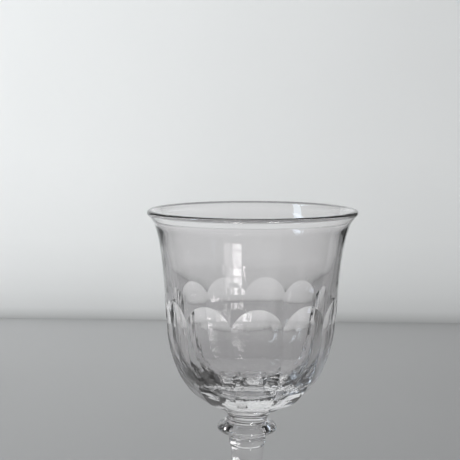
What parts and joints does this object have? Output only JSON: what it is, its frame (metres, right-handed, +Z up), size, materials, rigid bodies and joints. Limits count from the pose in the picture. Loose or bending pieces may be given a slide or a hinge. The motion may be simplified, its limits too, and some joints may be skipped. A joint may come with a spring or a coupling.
{
  "type": "wine glass",
  "caption": "Stemmed wine glass: flared bell bowl with a beaded lip and broad cut flutes, merese neck, ring knop, collared stem and disc foot.",
  "frame": {"origin": "centre of the foot, on the surface that the glass stands on", "axes": "+Z up along the axis of the glass, towards the mouth; +X and +Y level"},
  "size_m": [0.08, 0.08, 0.1388],
  "materials": {
    "bowl_glass": "fire-polished, with polished cut flutes",
    "stem_glass": "fire-polished"
  },
  "bodies": {
    "root": {"bowl": "bowl_glass", "merese": "stem_glass", "ring_knop": "stem_glass", "collar": "stem_glass", "stem": "stem_glass", "foot": "stem_glass"}
  },
  "joints": []
}
